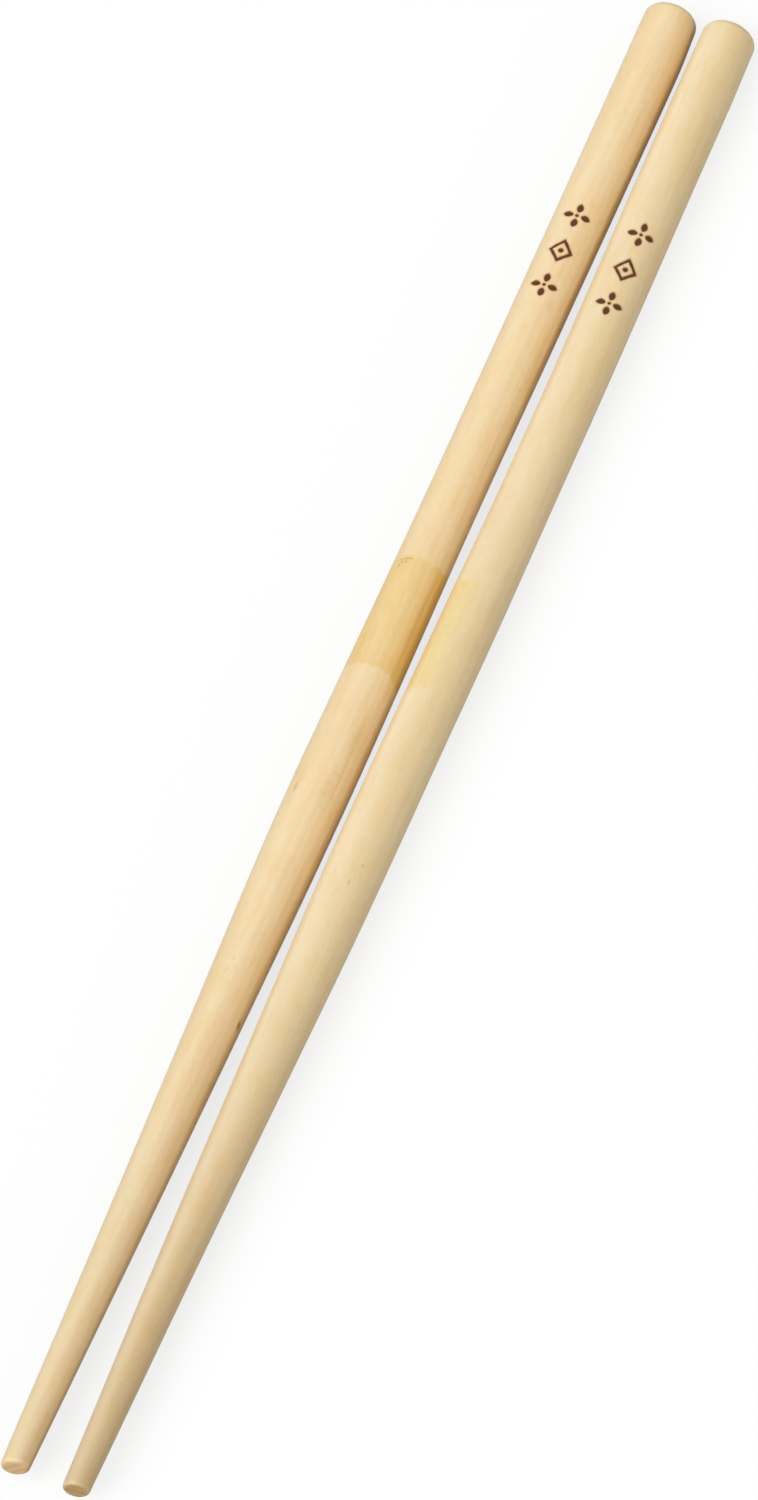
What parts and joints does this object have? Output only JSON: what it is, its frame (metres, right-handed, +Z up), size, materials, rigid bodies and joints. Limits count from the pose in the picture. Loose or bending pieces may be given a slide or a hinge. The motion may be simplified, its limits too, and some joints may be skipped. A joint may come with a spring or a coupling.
{
  "type": "pair of wooden chopsticks",
  "caption": "Two round turned wooden chopsticks lying side by side, each with a slightly swollen middle, a long even taper and rounded ends.",
  "frame": {"origin": "on the table, under the middle of the pair", "axes": "+Y along the sticks towards the butts, +X across the pair, +Z up from the table"},
  "size_m": [0.0154, 0.23, 0.0076],
  "materials": {
    "warm_wood": "satin",
    "pale_wood": "satin"
  },
  "bodies": {
    "root": {"chopstick_left": "warm_wood", "chopstick_right": "pale_wood"}
  },
  "joints": []
}
